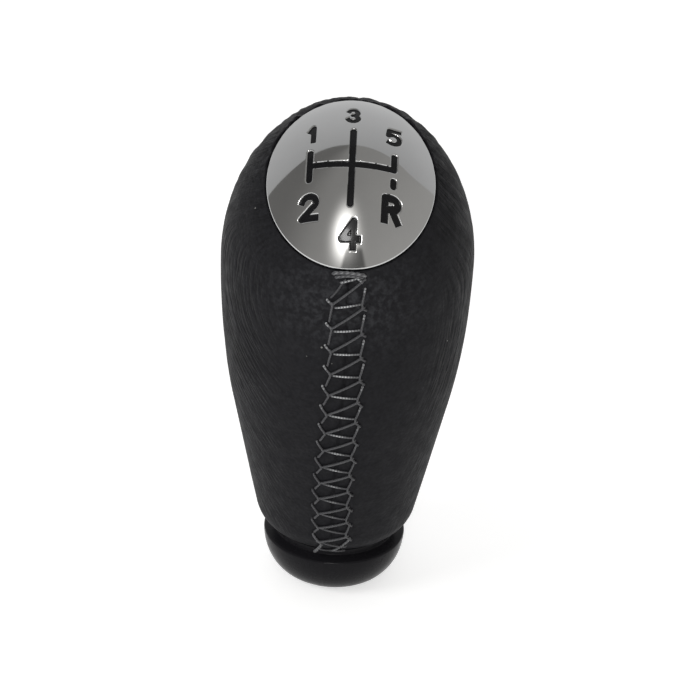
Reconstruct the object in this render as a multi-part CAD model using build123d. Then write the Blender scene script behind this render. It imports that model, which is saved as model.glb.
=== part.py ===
from build123d import *
from math import asin, atan2, cos, degrees, pi, radians, sin, sqrt, tan
import os

# A leather-covered gear shift knob that pushes onto a round lever.
# The origin is the centre of the foot, on the lever's axis. +Z runs up the lever, and the cap and
# the laced seam face -Y. All sizes are in millimetres.

# Outline of the knob, measured on the outside of the leather
belly_radius = 24.0
belly_height = 69.0
dome_rise = 31.0
flank_depth = 61.0  # of the half ellipse that the flank is part of
flank_drop = 29.0  # below the belly, where the curved flank runs out into a straight taper
toe_height = 10.8
toe_radius = 6.0
outline_turn = 37.0  # degrees from +X to where the turned surfaces start, clear of every cut

# Leather sleeve
leather_thickness = 1.2
leather_edge_radius = 0.3
lip_width = 3.0  # leather turned in under the cap
seam_groove_width = 0.6
seam_groove_depth = 0.35

# Chrome cap on the front slope of the dome
cap_tilt = 41.0
cap_depth = 6.5  # from the plane of the rim to the top of the dome over it
cap_seat_depth = 1.3  # of the leather lip, below the plane of the rim
cap_proud = 0.2
cap_wall = 2.0
cap_flange_width = 2.4
cap_edge_radius = 0.15
cap_gap = 0.15
peg_radius = 1.5
peg_length = 6.0  # into the core
peg_across = 7.5
peg_along = 8.0

# Shift pattern pressed into the cap
mark_tilt = 33.0
mark_width = 1.2
mark_depth = 0.35
gate_spacing = 7.6
gate_middle_reach = 7.6
gate_left_reach = 3.2
gate_right_reach = 3.2
reverse_dash_middle = -2.6
reverse_dash_length = 2.1

# Moulded core in two halves
core_wall = 2.6
deck_thickness = 3.0
rib_thickness = 2.0
tube_wall = 2.0
stop_thickness = 3.0  # over the end of the lever
boss_wall = 1.6
socket_spare = 1.0
pin_radius = 1.1
pin_length = 3.0
pin_heights = (26.0, 58.0)

# Lever bush
bore_radius = 6.0
bush_wall = 2.0
bush_length = 44.0
bush_chamfer = 0.6
key_sides = 6
key_width = 19.0  # across the flats of the key that stops the bush turning
key_height = 4.0
key_level = 22.0

# Base collar
collar_rim_radius = 14.2
collar_rim_drop = 1.8  # below the toe of the leather
collar_rim_round = 0.5
collar_foot_radius = 8.0  # of the flat that the knob stands on
collar_floor = 1.2
collar_neck_wall = 2.1
collar_ledge_rise = 0.7
mouth_clearance = 0.7
bead_radius = 0.5
bead_height = 6.0

# Threads of the seam
thread_radius = 0.25
thread_gap = 0.05
row_count = 15
row_top_drop = 1.55  # from the front of the cap's rim to the first row
row_bottom_rise = 3.6  # from the toe to the last row
row_shrink = 0.17  # rows lie this share wider apart at the top, and closer at the bottom
bar_rise_top = 1.4  # from a bar's left end up to its right end, at the first row
bar_rise_bottom = -1.0
loop_tip = 2.75  # from the middle of the seam to where the lacing catches the edge stitches
loop_hole = 3.75  # to the needle holes
hole_lead_top = 0.25  # of a row, between a needle hole and the node beside it
hole_lead_bottom = 0.5
stitch_sides = 6

# Clearances between pieces
glue_gap = 0.05
slide_fit = 0.05

# Sizes that follow from these
taper_top_radius = belly_radius * sqrt(1 - (flank_drop / flank_depth) ** 2)
flank_lean = atan2(belly_radius**2 * flank_drop, flank_depth**2 * taper_top_radius)
taper_top_height = belly_height - flank_drop
toe_centre_height = toe_height + toe_radius
toe_centre_radius = (
    taper_top_radius
    - (taper_top_height - toe_centre_height) * tan(flank_lean)
    - toe_radius / cos(flank_lean)
)
toe_top_height = toe_centre_height - toe_radius * sin(flank_lean)
reach = 2 * (belly_height + dome_rise + belly_radius)  # past every piece

core_inset = leather_thickness + glue_gap
cavity_inset = core_inset + core_wall
bush_radius = bore_radius + bush_wall
bush_top = collar_floor + bush_length
tube_radius = bush_radius + slide_fit + tube_wall

cap_slope = radians(cap_tilt)
dome_depth = sqrt((belly_radius * sin(cap_slope)) ** 2 + (dome_rise * cos(cap_slope)) ** 2)
cap_rim_distance = dome_depth - cap_depth
rim_share = sqrt(1 - (cap_rim_distance / dome_depth) ** 2)
cap_half_width = belly_radius * rim_share
cap_half_length = belly_radius * dome_rise / dome_depth * rim_share
cap_centre_y = -(belly_radius**2) * sin(cap_slope) * cap_rim_distance / dome_depth**2
cap_centre_z = belly_height + dome_rise**2 * cos(cap_slope) * cap_rim_distance / dome_depth**2
cap_plane = Plane(
    origin=(0, cap_centre_y, cap_centre_z),
    x_dir=(1, 0, 0),
    z_dir=(0, -sin(cap_slope), cos(cap_slope)),
)
mark_plane = Plane(
    origin=(0, cap_centre_y, cap_centre_z),
    x_dir=(1, 0, 0),
    z_dir=(0, -sin(radians(mark_tilt)), cos(radians(mark_tilt))),
)
row_top = cap_centre_z - cap_half_length * sin(cap_slope) - row_top_drop
row_bottom = toe_height + row_bottom_rise
collar_rim_height = toe_height - collar_rim_drop
# Levels along the cap's own axis, from the plane of its rim
seat_level = -cap_seat_depth
lip_level = seat_level - leather_thickness
deck_level = lip_level - glue_gap
ceiling_level = deck_level - deck_thickness


def surface_radius(height):
    """Radius of the outside of the leather at a height."""
    if height >= belly_height:
        return belly_radius * sqrt(1 - ((height - belly_height) / dome_rise) ** 2)
    if height >= taper_top_height:
        return belly_radius * sqrt(1 - ((belly_height - height) / flank_depth) ** 2)
    if height >= toe_top_height:
        return taper_top_radius - (taper_top_height - height) * tan(flank_lean)
    return toe_centre_radius + sqrt(toe_radius**2 - (toe_centre_height - height) ** 2)


def surface_lean(height):
    """Angle of the leather's outward normal above the horizontal, in radians."""
    outward = surface_radius(height) / belly_radius**2
    if height >= belly_height:
        return atan2((height - belly_height) / dome_rise**2, outward)
    if height >= taper_top_height:
        return -atan2((belly_height - height) / flank_depth**2, outward)
    if height >= toe_top_height:
        return -flank_lean
    return -asin((toe_centre_height - height) / toe_radius)


def elliptical_arc(radius, rise, turn):
    """Part of an ellipse about the middle of the belly, from the belly through an angle in radians."""
    start = (radius, belly_height)
    corner = (radius, belly_height + rise * tan(turn / 2))
    finish = (radius * cos(turn), belly_height + rise * sin(turn))
    return Bezier(start, corner, finish, weights=[1, cos(turn / 2), 1])


def body_solid(inset):
    """The knob's outline turned about the lever's axis, inset from the outside of the leather."""
    bottom = toe_height + inset
    radius = belly_radius - inset
    depth = flank_depth - inset
    lean = degrees(flank_lean)
    flank_turn = atan2(depth * tan(flank_lean), radius)
    toe = CenterArc((toe_centre_radius, toe_centre_height), toe_radius - inset, -90, 90 - lean)
    flank = elliptical_arc(radius, -depth, flank_turn)
    dome = elliptical_arc(radius, dome_rise - inset, pi / 2)
    taper = Line(toe @ 1, flank @ 1)
    underside = Line((0, bottom), toe @ 0)
    axis = Line(dome @ 1, (0, bottom))
    outline = make_face([underside, toe, taper, flank, dome, axis])
    return Rot(0, 0, outline_turn) * revolve(Plane.XZ * outline, Axis.Z)


def upright(radius, bottom, top):
    """A cylinder on the lever's axis between two heights."""
    return Pos(0, 0, bottom) * extrude(Circle(radius), top - bottom)


def cap_column(grow, bottom, top):
    """A column of the cap's outline, between two levels along the cap's axis."""
    outline = Ellipse(cap_half_width + grow, cap_half_length + grow)
    return cap_plane * Pos(0, 0, bottom) * extrude(outline, top - bottom)


def under_cap(level):
    """Everything on the lever's side of a level along the cap's axis."""
    return cap_plane * Pos(0, 0, level - reach / 2) * Box(reach, reach, reach)


def cap_level(point):
    return cap_plane.to_local_coords(Vector(point)).Z


def peg_places():
    return [(x, y) for x in (-peg_across, peg_across) for y in (-peg_along, peg_along)]


def peg_column(radius, bottom, top, place):
    """A cylinder along the cap's axis at one of the pegs."""
    return cap_plane * Pos(*place, bottom) * extrude(Circle(radius), top - bottom)


def pin_places():
    """Middle of the space between the tube and the shell, in front and behind, at each pin height."""
    places = []
    for height in pin_heights:
        middle = (tube_radius + surface_radius(height) - cavity_inset) / 2
        places.extend([(-middle, height), (middle, height)])
    return places


def pin_column(radius, left, right, place):
    """A cylinder across the parting plane at one of the pins."""
    return Plane.YZ * Pos(*place, left) * extrude(Circle(radius), right - left)


def key_prism(grow, bottom, top):
    """The bush's key, between two heights."""
    outline = RegularPolygon(key_width / 2 + grow, key_sides, major_radius=False)
    return Pos(0, 0, bottom) * extrude(outline, top - bottom)


def bead_ring(radius):
    """The round snap bead on the core's spigot."""
    section = Plane.XZ * Pos(tube_radius, bead_height) * Circle(radius)
    return revolve(section, Axis.Z)


def seam_groove():
    """A narrow channel down the front of the leather, from the first row to the toe."""
    length = row_top - toe_top_height
    slab = Box(seam_groove_width, 2 * belly_radius, length)
    return Pos(0, -belly_radius, toe_top_height + length / 2) * slab - body_solid(seam_groove_depth)


def leather_sleeve():
    hide = body_solid(0) - (body_solid(leather_thickness) & under_cap(lip_level))
    hide -= cap_column(cap_gap, seat_level, reach)
    hide -= cap_column(-lip_width, lip_level - leather_thickness, reach)
    hide -= upright(tube_radius + slide_fit, 0, toe_height + 2 * leather_thickness)
    rolled_edge = hide.edges().filter_by(lambda edge: cap_level(edge @ 0.5) > seat_level / 2)
    hide = fillet(rolled_edge, leather_edge_radius)
    return hide - seam_groove()


def gate_lines():
    """The gate of the shift pattern and the reverse dash, as flat strokes."""
    half = mark_width / 2
    strokes = [
        ((0, -gate_middle_reach), (0, gate_middle_reach)),
        ((-gate_spacing, -gate_left_reach), (-gate_spacing, gate_left_reach)),
        ((-gate_spacing, 0), (gate_spacing, 0)),
        ((gate_spacing, 0), (gate_spacing, gate_right_reach)),
        (
            (gate_spacing, reverse_dash_middle - reverse_dash_length / 2 + half),
            (gate_spacing, reverse_dash_middle + reverse_dash_length / 2 - half),
        ),
    ]
    lines = [Line(start, end) for start, end in strokes]
    sketch = Sketch() + [trace(line, mark_width) for line in lines]
    corner = Pos(gate_spacing, 0) * Circle(half)
    return sketch + corner


def shift_pattern_cap():
    dome = body_solid(-cap_proud)
    cap = dome & cap_column(0, seat_level, reach)
    rim = cap.edges().filter_by(lambda edge: cap_level(edge @ 0.5) > seat_level / 2)
    cap = fillet(rim, cap_edge_radius)
    cap -= body_solid(cap_wall - cap_proud) & cap_column(-cap_flange_width, seat_level, reach)
    pressed = mark_plane * extrude(gate_lines(), reach)
    cap -= pressed - body_solid(mark_depth - cap_proud)
    for place in peg_places():
        peg = peg_column(peg_radius, deck_level - peg_length, reach, place)
        cap += peg & body_solid(cap_wall / 2 - cap_proud)
    return cap


def core():
    """The whole core, before it is parted into halves."""
    tube = upright(tube_radius, collar_floor, bush_top + stop_thickness)
    shell = (body_solid(core_inset) & under_cap(deck_level)) + tube + bead_ring(bead_radius)

    hollow = body_solid(cavity_inset) & under_cap(ceiling_level)
    hollow -= tube
    key_boss_radius = (key_width / 2 + slide_fit) / cos(pi / key_sides) + tube_wall
    hollow -= upright(key_boss_radius, key_level - tube_wall, key_level + key_height + tube_wall)
    hollow -= Box(reach, rib_thickness, reach)
    hollow -= Box(2 * rib_thickness, reach, reach)
    socket_bottom = deck_level - peg_length - socket_spare
    for place in peg_places():
        hollow -= peg_column(peg_radius + boss_wall, socket_bottom - boss_wall, deck_level, place)
    boss_reach = pin_length + socket_spare + boss_wall
    for place in pin_places():
        hollow -= pin_column(pin_radius + boss_wall, -boss_reach, boss_reach, place)

    moulding = shell - hollow
    moulding -= upright(bush_radius + slide_fit, 0, bush_top)
    moulding -= key_prism(slide_fit, key_level, key_level + key_height)
    for place in peg_places():
        moulding -= peg_column(peg_radius + slide_fit, socket_bottom, reach, place)
    return moulding


def core_halves():
    whole = core()
    left = whole & Pos(-reach / 2, 0, 0) * Box(reach, 2 * reach, 2 * reach)
    right = whole & Pos(reach / 2, 0, 0) * Box(reach, 2 * reach, 2 * reach)
    for place in pin_places():
        left += pin_column(pin_radius, -pin_length, pin_length, place)
        right -= pin_column(pin_radius + slide_fit, 0, pin_length + socket_spare, place)
    return left, right


def lever_bush():
    bush = upright(bush_radius, collar_floor, bush_top)
    bush += key_prism(0, key_level, key_level + key_height)
    bush -= upright(bore_radius, collar_floor, bush_top)
    mouth = bush.edges().filter_by(GeomType.CIRCLE).group_by(Axis.Z)[0].sort_by(SortBy.RADIUS)[0]
    return chamfer(mouth, bush_chamfer)


def base_collar():
    inner = tube_radius + slide_fit
    neck = inner + collar_neck_wall
    mouth = bore_radius + mouth_clearance
    foot = (collar_foot_radius, 0)
    rim = (collar_rim_radius, collar_rim_height)
    bowl = Bezier(foot, (collar_rim_radius, 0), rim, weights=[1, cos(pi / 4), 1])
    inside = Polyline(
        rim,
        (neck, collar_rim_height + collar_ledge_rise),
        (neck, toe_height),
        (inner, toe_height),
        (inner, collar_floor),
        (mouth, collar_floor),
        (mouth, 0),
        foot,
    )
    profile = make_face([bowl, inside])
    rim_corner = profile.vertices().sort_by_distance(rim)[0]
    profile = fillet(rim_corner, collar_rim_round)
    collar = revolve(Plane.XZ * profile, Axis.Z)
    return collar - bead_ring(bead_radius + slide_fit)


def row_height(row):
    """Height of a row of lacing at the middle of the seam. Rows lie a little wider apart at the top."""
    share = row / (row_count - 1)
    fall = share + row_shrink * share * (1 - share)
    return row_top - (row_top - row_bottom) * fall


def node_height(row, side):
    """Height where the lacing catches one edge. Bars rise to the right only near the top."""
    share = row / (row_count - 1)
    rise = bar_rise_bottom + (bar_rise_top - bar_rise_bottom) * (1 - share) ** 3
    return row_height(row) + side * rise / 2


def hole_lead(row):
    """Share of a row between a needle hole and its node."""
    share = row / (row_count - 1)
    return hole_lead_top + (hole_lead_bottom - hole_lead_top) * share


def over_leather(height, across):
    """Middle of a thread that lies on the leather, a distance across from the seam."""
    lift = thread_radius + thread_gap
    lean = surface_lean(height)
    turn = across / surface_radius(height)
    out = surface_radius(height) + lift * cos(lean)
    return Vector(out * sin(turn), -out * cos(turn), height + lift * sin(lean))


def thread(path):
    """A thread along a path, with a many-sided section."""
    section = Plane(origin=path @ 0, z_dir=path % 0) * RegularPolygon(thread_radius, stitch_sides)
    return sweep(section, path=path, transition=Transition.RIGHT)


def lacing_run(start, finish):
    """A thread bowed over the leather between two points of height and distance across."""
    middle = ((start[0] + finish[0]) / 2, (start[1] + finish[1]) / 2)
    return thread(ThreePointArc(over_leather(*start), over_leather(*middle), over_leather(*finish)))


def edge_stitches(side):
    """The stitches along one edge of the leather, pulled towards the seam by the lacing.

    On the left each needle hole lies above its node, and on the right below it.
    """
    spare = thread_gap + 2 * thread_radius
    loops = []
    for row in range(1, row_count - 1):
        tip = over_leather(node_height(row, side), side * loop_tip)
        near = over_leather(row_height(row + side * hole_lead(row)), side * loop_hole)
        next_row = row - side
        next_hole = row_height(next_row + side * hole_lead(next_row)) - side * spare
        far = over_leather(next_hole, side * loop_hole)
        loops.append(thread(Polyline(near, tip, far)))
    return Compound(loops)


def cross_lacing():
    """Bars and slanting runs that draw the two edges of the leather together."""
    end = loop_tip - 2 * thread_radius - thread_gap
    drop = 2 * thread_radius + thread_gap
    runs = []
    for row in range(1, row_count):
        left = node_height(row, -1)
        right = node_height(row, 1)
        runs.append(lacing_run((left, -end), (right, end)))
    for row in range(row_count - 1):
        start = node_height(row, 1) - drop
        finish = node_height(row + 1, -1) + drop
        runs.append(lacing_run((start, end), (finish, -end)))
    return Compound(runs)


def main():
    left, right = core_halves()
    nodes = {
        "leather_sleeve": leather_sleeve(),
        "edge_stitches_left": edge_stitches(-1),
        "edge_stitches_right": edge_stitches(1),
        "cross_lacing": cross_lacing(),
        "shift_pattern_cap": shift_pattern_cap(),
        "core_half_left": left,
        "core_half_right": right,
        "lever_bush": lever_bush(),
        "base_collar": base_collar(),
    }
    os.makedirs("parts", exist_ok=True)
    for name, shape in nodes.items():
        export_step(shape, f"parts/{name}.step")


main()
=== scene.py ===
from math import atan2, cos, hypot, pi, radians, sin, sqrt, tan

import bmesh
import bpy
import numpy as np
from mathutils import Matrix, Vector


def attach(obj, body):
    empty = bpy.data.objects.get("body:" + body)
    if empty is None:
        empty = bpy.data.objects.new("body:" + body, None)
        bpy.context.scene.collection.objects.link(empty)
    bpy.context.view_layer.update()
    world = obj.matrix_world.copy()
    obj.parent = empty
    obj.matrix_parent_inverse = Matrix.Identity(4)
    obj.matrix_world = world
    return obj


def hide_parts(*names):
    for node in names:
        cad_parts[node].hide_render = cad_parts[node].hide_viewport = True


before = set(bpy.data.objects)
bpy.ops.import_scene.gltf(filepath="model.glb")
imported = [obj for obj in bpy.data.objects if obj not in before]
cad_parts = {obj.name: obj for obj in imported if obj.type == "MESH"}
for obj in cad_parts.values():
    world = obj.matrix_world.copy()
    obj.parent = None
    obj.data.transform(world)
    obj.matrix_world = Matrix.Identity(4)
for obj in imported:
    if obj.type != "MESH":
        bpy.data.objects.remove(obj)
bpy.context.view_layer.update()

# A leather-covered gear shift knob on a plain pale floor. Sizes of the object are in millimetres, as in
# the part, and make_piece turns them into metres. Angles called turn are radians round the lever's axis,
# from the front (-Y) towards +X.
MM = 0.001

# Outline of the knob, measured on the outside of the leather
belly_radius = 24.0
belly_height = 69.0
dome_rise = 31.0
flank_depth = 61.0
flank_drop = 29.0
toe_height = 10.8
toe_radius = 6.0
hem_radius = 10.1  # where the leather ends under the toe

# Leather sleeve
leather_thickness = 1.2
leather_roll = 0.3
lip_width = 3.0
seam_wander_heights = (14.0, 28.0, 42.0, 56.0, 66.0, 77.0)
seam_wander = (-0.2, -0.45, 0.15, 0.72, 0.55, 0.4)  # the sewn line strays this far across the front

# Chrome cap
cap_tilt = radians(41.0)
cap_depth = 6.5
cap_seat_level = -1.3
cap_proud = 0.2
cap_wall = 2.0
cap_flange_width = 2.4
cap_edge_radius = 0.15
cap_gap = 0.15

# Shift pattern pressed into the cap
mark_tilt = radians(33.0)
mark_width = 1.2
mark_depth = 0.35
gate_spacing = 7.6
gate_middle_reach = 7.6
gate_left_reach = 3.2
gate_right_reach = 3.2
reverse_dash_middle = -2.6
reverse_dash_length = 2.1

# Base collar
collar_mouth_radius = 6.7
collar_rim_radius = 14.2
collar_rim_height = 9.0
collar_rim_round = 0.5
collar_foot_radius = 8.0
collar_floor = 1.2
collar_neck_radius = 12.2
collar_ledge_rise = 0.7

# Threads of the seam
row_count = 15
row_top_drop = 1.55
row_bottom = 14.4
row_shrink = 0.17
bar_rise_top = 1.4  # of a bar's right end over its left end, at the top row
bar_rise_bottom = -1.0

# Sizes that follow from these
taper_top_radius = belly_radius * sqrt(1 - (flank_drop / flank_depth) ** 2)
flank_lean = atan2(belly_radius**2 * flank_drop, flank_depth**2 * taper_top_radius)
taper_top_height = belly_height - flank_drop
toe_centre_height = toe_height + toe_radius
toe_centre_radius = (
    taper_top_radius
    - (taper_top_height - toe_centre_height) * tan(flank_lean)
    - toe_radius / cos(flank_lean)
)
toe_top_height = toe_centre_height - toe_radius * sin(flank_lean)
dome_depth = hypot(belly_radius * sin(cap_tilt), dome_rise * cos(cap_tilt))
cap_rim_distance = dome_depth - cap_depth
rim_share = sqrt(1 - (cap_rim_distance / dome_depth) ** 2)
cap_half_width = belly_radius * rim_share
cap_half_length = belly_radius * dome_rise / dome_depth * rim_share
cap_centre = np.array([
    0.0,
    -(belly_radius**2) * sin(cap_tilt) * cap_rim_distance / dome_depth**2,
    belly_height + dome_rise**2 * cos(cap_tilt) * cap_rim_distance / dome_depth**2,
])
cap_up = np.array([0.0, cos(cap_tilt), sin(cap_tilt)])
cap_axis = np.array([0.0, -sin(cap_tilt), cos(cap_tilt)])
mark_up = np.array([0.0, cos(mark_tilt), sin(mark_tilt)])
row_top = cap_centre[2] - cap_half_length * sin(cap_tilt) - row_top_drop


# Shapes that the pieces share


def smoothstep(low, high, value):
    share = np.clip((value - low) / (high - low), 0, 1)
    return share * share * (3 - 2 * share)


def unit(vectors):
    return vectors / np.linalg.norm(vectors, axis=1)[:, None]


def rounded_ridge(away, height, place, half_width):
    """A ridge at a distance from a line, or a trench where its height is less than nothing."""
    return height * np.exp(-(((away - place) / half_width) ** 2))


def by_zone(height, dome, flank, taper, toe):
    zones = [height >= belly_height, height >= taper_top_height, height >= toe_top_height]
    return np.select(zones, [dome, flank, taper], toe)


def surface_radius(height):
    """Radius of the outside of the leather at a height."""
    dome = belly_radius * np.sqrt(np.clip(1 - ((height - belly_height) / dome_rise) ** 2, 0, 1))
    flank = belly_radius * np.sqrt(np.clip(1 - ((belly_height - height) / flank_depth) ** 2, 0, 1))
    taper = taper_top_radius - (taper_top_height - height) * tan(flank_lean)
    below_centre = np.clip(toe_centre_height - height, 0, toe_radius)
    toe = toe_centre_radius + np.sqrt(toe_radius**2 - below_centre**2)
    return by_zone(height, dome, flank, taper, toe)


def surface_lean(height):
    """Angle of the leather's outward normal above the horizontal."""
    outward = surface_radius(height) / belly_radius**2
    dome = np.arctan2((height - belly_height) / dome_rise**2, outward)
    flank = -np.arctan2((belly_height - height) / flank_depth**2, outward)
    taper = np.full_like(dome, -flank_lean)
    toe = -np.arcsin(np.clip((toe_centre_height - height) / toe_radius, -1, 1))
    return by_zone(height, dome, flank, taper, toe)


def round_axis(radius, turn, height):
    """Points at a radius from the lever's axis."""
    return np.stack([radius * np.sin(turn), -radius * np.cos(turn), height], axis=-1)


def outward_normal(turn, lean):
    return round_axis(np.cos(lean), turn, np.sin(lean))


def on_leather(height, across, lift):
    """Points a distance above the leather and a distance across from the middle of the seam."""
    radius = surface_radius(height)
    turn = (seam_shift(height) + across) / radius
    normal = outward_normal(turn, surface_lean(height))
    return round_axis(radius, turn, height) + lift[..., None] * normal, normal


def seam_shift(height):
    return np.interp(height, seam_wander_heights, seam_wander)


def row_height(row):
    """Height of a row of lacing at the middle of the seam. Rows lie a little wider apart at the top."""
    share = np.asarray(row, float) / (row_count - 1)
    fall = share + row_shrink * share * (1 - share)
    return row_top - (row_top - row_bottom) * fall


def node_height(row, side):
    """Height where the lacing catches one edge. Bars rise to the right only near the top."""
    share = np.clip(np.asarray(row, float) / (row_count - 1), 0, 1)
    rise = bar_rise_bottom + (bar_rise_top - bar_rise_bottom) * (1 - share) ** 3
    return row_height(row) + side * rise / 2


def cap_point(across, along, level):
    """A point in the cap's own directions, from the middle of the plane of its rim."""
    side = np.array([1.0, 0.0, 0.0])
    return cap_centre + across[..., None] * side + along[..., None] * cap_up + level[..., None] * cap_axis


def dome_level(across, along, grow):
    """Level along the cap's axis of the dome grown by a thickness."""
    radius = belly_radius + grow
    rise = dome_rise + grow
    start = cap_point(across, along, np.zeros_like(across)) - np.array([0.0, 0.0, belly_height])
    scale = np.array([1 / radius, 1 / radius, 1 / rise])
    origin = start * scale
    step = cap_axis * scale
    a = step @ step
    b = origin @ step
    c = (origin * origin).sum(axis=-1) - 1
    return (-b + np.sqrt(np.clip(b * b - a * c, 0, None))) / a


def lattice_noise(across, along, columns, seed):
    """Smooth random values from -1 to 1 on a lattice that closes on itself across."""
    rows = int(along.max()) + 2
    table = np.random.default_rng(seed).uniform(-1, 1, (rows + 1, columns))
    left = np.floor(across).astype(int)
    low = np.floor(along).astype(int)
    right_share = smoothstep(0, 1, across - left)
    high_share = smoothstep(0, 1, along - low)
    lower, upper = [
        table[row, left % columns] * (1 - right_share) + table[row, (left + 1) % columns] * right_share
        for row in (low, low + 1)
    ]
    return lower * (1 - high_share) + upper * high_share


# Places of the stitches, in millimetres. Pairs hold a value near the first row and one further down.

graded_rows = (1, 6)  # a pair's first value goes over to its second between these rows
slant_reach = 2.72  # from the middle of the seam to the ends of the slanting runs
slant_drop = 0.85  # below the right end of a bar
slant_rise = (0.65, 0.12)  # above the left end of a bar
bar_left = 2.05
bar_right = 2.42
left_tick_reach = (3.7, 4.05)
left_tick_rise = (0.6, 1.72)
left_run_reach = (3.2, 3.5)
left_run_rise = (1.4, 2.3)
right_tick_reach = (3.35, 3.65)
right_tick_drop = (0.5, 1.2)
right_run_reach = (3.0, 3.3)
right_run_rise = (2.7, 2.25)


def graded(pair, row):
    return float(pair[0] + (pair[1] - pair[0]) * smoothstep(*graded_rows, row))


def left_node(row):
    """Height of the left end of a slanting run."""
    return float(node_height(row, -1)) + graded(slant_rise, row)


def right_node(row):
    """Height of the right end of a slanting run."""
    return float(node_height(row, 1)) - slant_drop


def left_holes(row):
    """Height and distance across of the needle holes before and after a left node."""
    before = (left_node(row) + graded(left_tick_rise, row), -graded(left_tick_reach, row))
    after = (left_node(row + 1) + graded(left_run_rise, row), -graded(left_run_reach, row))
    return before, after


def right_holes(row):
    """Height and distance across of the needle holes before and after a right node."""
    before = (float(node_height(row, 1)) + graded(right_run_rise, row), graded(right_run_reach, row))
    after = (right_node(row) - graded(right_tick_drop, row), graded(right_tick_reach, row))
    return before, after


# Making pieces

sharp_angle = radians(62)


def new_object(name, points, faces, material):
    mesh = bpy.data.meshes.new(name)
    mesh.from_pydata(points.tolist(), [], faces)
    mesh.materials.append(material)
    made = bpy.data.objects.new(name, mesh)
    bpy.context.scene.collection.objects.link(made)
    return made


def make_piece(node, points, faces, material):
    """A dressed piece that stands for a CAD node, from points in millimetres."""
    piece = new_object(node + "_dressed", points.reshape(-1, 3) * MM, faces, material)
    mesh = piece.data
    shell = bmesh.new()
    shell.from_mesh(mesh)
    bmesh.ops.recalc_face_normals(shell, faces=shell.faces)
    shell.to_mesh(mesh)
    shell.free()
    mesh.polygons.foreach_set("use_smooth", [True] * len(mesh.polygons))
    mesh.set_sharp_from_angle(angle=sharp_angle)
    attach(piece, "root")
    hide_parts(node)
    return piece


def store(piece, name, values):
    """Keeps a number for each point of a piece, for its material."""
    piece.data.attributes.new(name, "FLOAT", "POINT").data.foreach_set("value", np.ravel(values))


def grid_faces(rows, columns, close_rows, close_columns, first=0):
    """Quads of a grid of points that may close on itself either way."""
    row = np.arange(rows if close_rows else rows - 1)[:, None]
    column = np.arange(columns if close_columns else columns - 1)[None, :]
    next_row = (row + 1) % rows * columns
    next_column = (column + 1) % columns
    corners = [row * columns + column, row * columns + next_column, next_row + next_column, next_row + column]
    return (np.stack(np.broadcast_arrays(*corners), axis=-1).reshape(-1, 4) + first).tolist()


# Leather sleeve

leather_columns = 392
front_crowding = 0.45  # columns lie this share closer at the seam, and wider at the back
toe_rows = 12
taper_rows = 50
flank_rows = 60
dome_rows = 96
roll_rows = 5
inner_row_step = 14
rim_halvings = 40  # steps in finding the rim


def leather_turns():
    even = np.linspace(-pi, pi, leather_columns, endpoint=False)
    return even - front_crowding * np.sin(even)


def rim_angle(turn):
    """Angle up the dome at which each column of leather reaches the roll round the cap."""
    grow = cap_gap + leather_roll
    low = np.zeros_like(turn)
    high = np.full_like(turn, pi / 2)
    for _ in range(rim_halvings):
        middle = (low + high) / 2
        radius = belly_radius * np.cos(middle)
        across = radius * np.sin(turn)
        behind = -radius * np.cos(turn) - cap_centre[1]
        above = belly_height + dome_rise * np.sin(middle) - cap_centre[2]
        along = behind * cap_up[1] + above * cap_up[2]
        outside = (across / (cap_half_width + grow)) ** 2 + (along / (cap_half_length + grow)) ** 2 > 1
        low = np.where(outside, middle, low)
        high = np.where(outside, high, middle)
    return (low + high) / 2


def leather_outline(turn):
    """Heights of the leather's outside, in rows from the hem to the roll round the cap."""
    hem_angle = -np.arccos((hem_radius - toe_centre_radius) / toe_radius)
    toe = np.linspace(hem_angle, -flank_lean, toe_rows, endpoint=False)
    taper = np.linspace(toe_top_height, taper_top_height, taper_rows, endpoint=False)
    flank = np.linspace(taper_top_height, belly_height, flank_rows, endpoint=False)
    below = np.concatenate([toe_centre_height + toe_radius * np.sin(toe), taper, flank])
    share = np.linspace(0, 1, dome_rows)[:, None]
    dome = belly_height + dome_rise * np.sin(share * rim_angle(turn)[None, :])
    return np.concatenate([np.repeat(below[:, None], len(turn), axis=1), dome])


# Noises of the leather: columns in a turn, rise of a row, seed
swell_noise = (14, 11.0, 3)
wander_noise = (22, 17.0, 5)
swell_depth = 0.07
table_steps = 400

# The leather's fine lines leave the cap sideways, bow back round the belly and come forward again below it.
# Pairs are for the left and the right, and slopes are distances across for each millimetre up.
line_turning = (73.0, 66.0)  # height where the lines run straight down
line_slope_over = (-2.0, -0.9)
line_slope_under = (1.0, 0.3)
line_ramp_over = 11.0  # height in which a slope builds up
line_ramp_under = 17.0
line_front_turn = 0.3  # up to this turn from the front, the left lines go over to the right ones
line_straight_turns = (2.0, 2.9)  # the lines straighten towards the back between these turns
line_depth = 0.09
line_spacing = 1.7
line_columns = 97
line_rise = 15.0
line_swing = 2  # rows by which the lines' noise moves up and down round the knob
line_sharpness = 5
line_wander = 0.8
line_seed = 7

# Turns and heights between which the fine lines come in or fade, and how much of them is lost or left there
tension_left = (-0.3, -1.0)
tension_right = (0.5, 1.15)
tension_behind = (1.2, 1.9)
tension_heights = (34.0, 54.0)
tension_lost_behind = 0.75
tension_low_down = 0.3


def line_stray(height, turning_height, slope_over, slope_under):
    """How far a fine line has strayed across by a height."""
    steps = np.linspace(0, belly_height + dome_rise, table_steps)
    under = slope_under * smoothstep(turning_height, turning_height - line_ramp_under, steps)
    over = slope_over * smoothstep(turning_height, turning_height + line_ramp_over, steps)
    return np.interp(height, steps, np.cumsum(under + over) * (steps[1] - steps[0]))


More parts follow.
